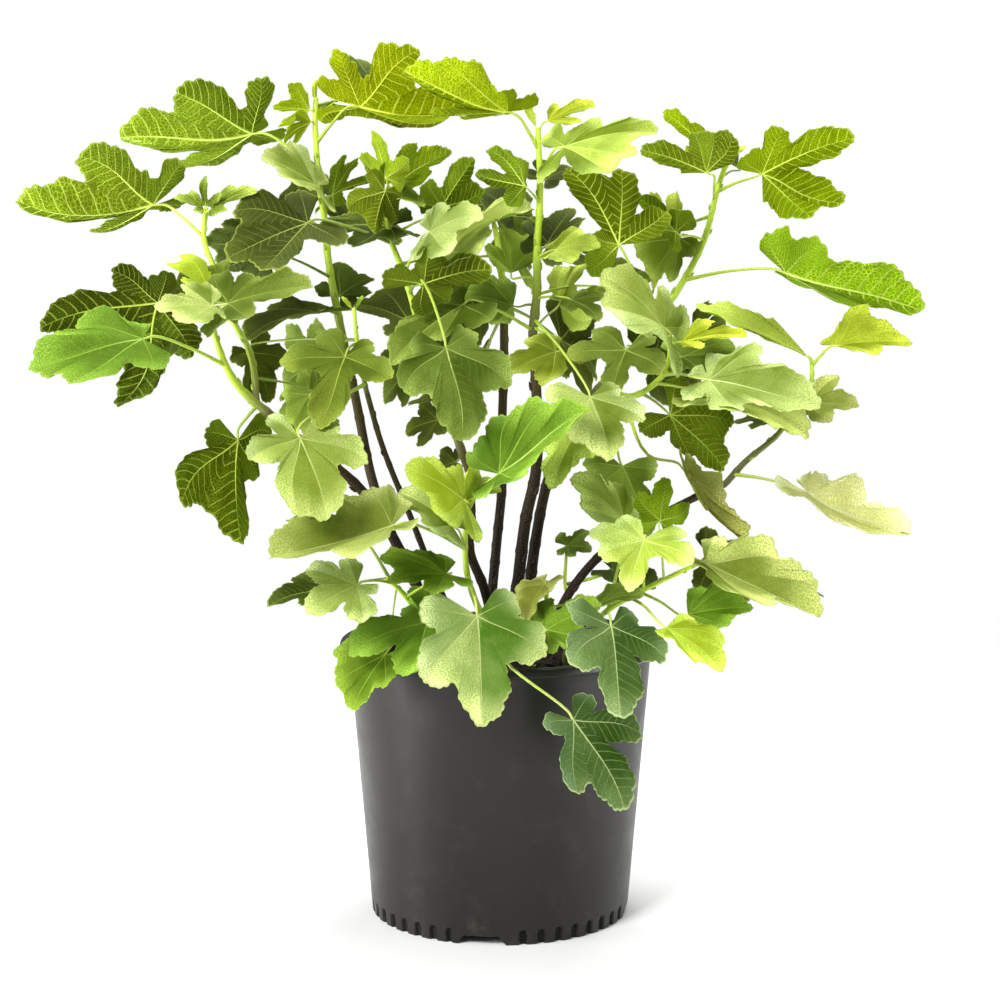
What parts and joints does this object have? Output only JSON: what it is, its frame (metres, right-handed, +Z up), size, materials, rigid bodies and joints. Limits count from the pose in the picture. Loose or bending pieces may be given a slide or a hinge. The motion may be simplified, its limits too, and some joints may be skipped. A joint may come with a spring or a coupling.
{
  "type": "potted fig tree",
  "caption": "Young multi-stemmed brown turkey fig with large lobed leaves, growing in a black nursery pot of potting soil.",
  "frame": {"origin": "centre of the pot's underside, on the surface that the pot stands on", "axes": "+Z up, +X along the plant's widest spread, -Y the side that the picture shows"},
  "size_m": [0.7535, 0.4989, 0.7559],
  "materials": {
    "pot_plastic": "satin black grey",
    "potting_soil": "damp bark and peat mix with white specks",
    "fig_wood": "smooth dark brown bark",
    "fig_leaf": "soft matt green leaves and petioles"
  },
  "bodies": {
    "root": {"pot": "pot_plastic", "soil": "potting_soil", "wood_tall_left": "fig_wood", "wood_thin_left": "fig_wood", "wood_middle_left": "fig_wood", "wood_back": "fig_wood", "wood_middle": "fig_wood", "wood_right": "fig_wood", "wood_far_right": "fig_wood", "wood_far_left": "fig_wood", "shoot_tall_left": "fig_leaf", "shoot_thin_left": "fig_leaf", "shoot_middle_left": "fig_leaf", "shoot_back": "fig_leaf", "shoot_middle": "fig_leaf", "shoot_right": "fig_leaf", "shoot_far_right": "fig_leaf", "shoot_far_left": "fig_leaf", "shoot_front": "fig_leaf", "shoot_low_left": "fig_leaf", "shoot_low_middle": "fig_leaf", "shoot_low_right": "fig_leaf", "shoot_twig": "fig_leaf"}
  },
  "joints": []
}
